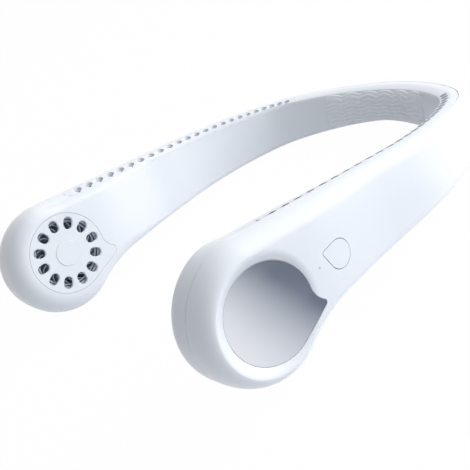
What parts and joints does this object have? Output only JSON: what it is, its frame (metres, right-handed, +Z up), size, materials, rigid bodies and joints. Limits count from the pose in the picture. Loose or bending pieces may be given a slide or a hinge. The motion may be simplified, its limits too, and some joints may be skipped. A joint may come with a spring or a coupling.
{
  "type": "neck fan",
  "caption": "Bladeless neck fan: a U-shaped band with two round fan heads, air outlet holes along its top edge, a ribbed cushion at the back and a power button.",
  "frame": {"origin": "centre of the bounding box at the level it stands on, on the underside of the heads and the back", "axes": "+X across the neck towards the left arm, +Y from the heads towards the back of the neck, +Z up"},
  "size_m": [0.194, 0.215, 0.0572],
  "materials": {
    "shell": "satin",
    "button": "satin",
    "strip": "fine satin",
    "pad": "soft matte",
    "mirror": "polished",
    "rotor": "satin",
    "magnet": "matte",
    "steel": "brushed",
    "bearing": "plain",
    "board": "solder mask",
    "coil": "enamelled wire",
    "inner_plastic": "matte",
    "cell": "foil",
    "foam": "open foam",
    "connector": "matte",
    "black_plastic": "matte",
    "lens": "clear",
    "wire": "matte"
  },
  "bodies": {
    "band": {"inner_frame": "shell", "outer_cover": "shell", "neck_pad": "pad", "outlet_strip_left": "strip", "outlet_strip_right": "strip", "intake_cover_left": "shell", "intake_cover_right": "shell", "intake_cap_left": "strip", "intake_cap_right": "strip", "mirror_disc_left": "mirror", "mirror_disc_right": "mirror", "motor_bearing_left": "bearing", "motor_bearing_right": "bearing", "motor_base_left": "board", "motor_base_right": "board", "stator_core_left": "steel", "stator_core_right": "steel", "stator_coils_left": "coil", "stator_coils_right": "coil", "blower_scroll_left": "inner_plastic", "blower_scroll_right": "inner_plastic", "air_duct_left": "inner_plastic", "air_duct_right": "inner_plastic", "battery_left": "cell", "battery_right": "cell", "battery_pad_left": "foam", "battery_pad_right": "foam", "main_board": "board", "board_connector": "connector", "charging_socket": "steel", "socket_tongue": "black_plastic", "tact_switch": "black_plastic", "light_guide": "lens", "main_loom": "wire", "motor_lead_left": "wire", "battery_lead_left": "wire", "case_screws": "steel"},
    "impeller_left": {"impeller_left": "rotor", "rotor_magnet_left": "magnet", "motor_shaft_left": "steel"},
    "impeller_right": {"impeller_right": "rotor", "rotor_magnet_right": "magnet", "motor_shaft_right": "steel"},
    "power_button": {"power_button": "button", "switch_plunger": "black_plastic"}
  },
  "joints": [
    {"name": "impeller_left_spin", "type": "hinge", "parent": "band", "child": "impeller_left", "pos_m": [0.06864, -0.07651, 0.03109], "axis": [0.9963, -0.0173, -0.0836], "continuous": true},
    {"name": "impeller_right_spin", "type": "hinge", "parent": "band", "child": "impeller_right", "pos_m": [-0.06864, -0.07651, 0.03109], "axis": [-0.9963, -0.0173, -0.0836], "continuous": true},
    {"name": "power_button_press", "type": "slide", "parent": "band", "child": "power_button", "axis": [-0.9959, -0.0843, -0.0342], "range_m": [0, 0.00035], "stiffness_N_per_m": 600}
  ]
}
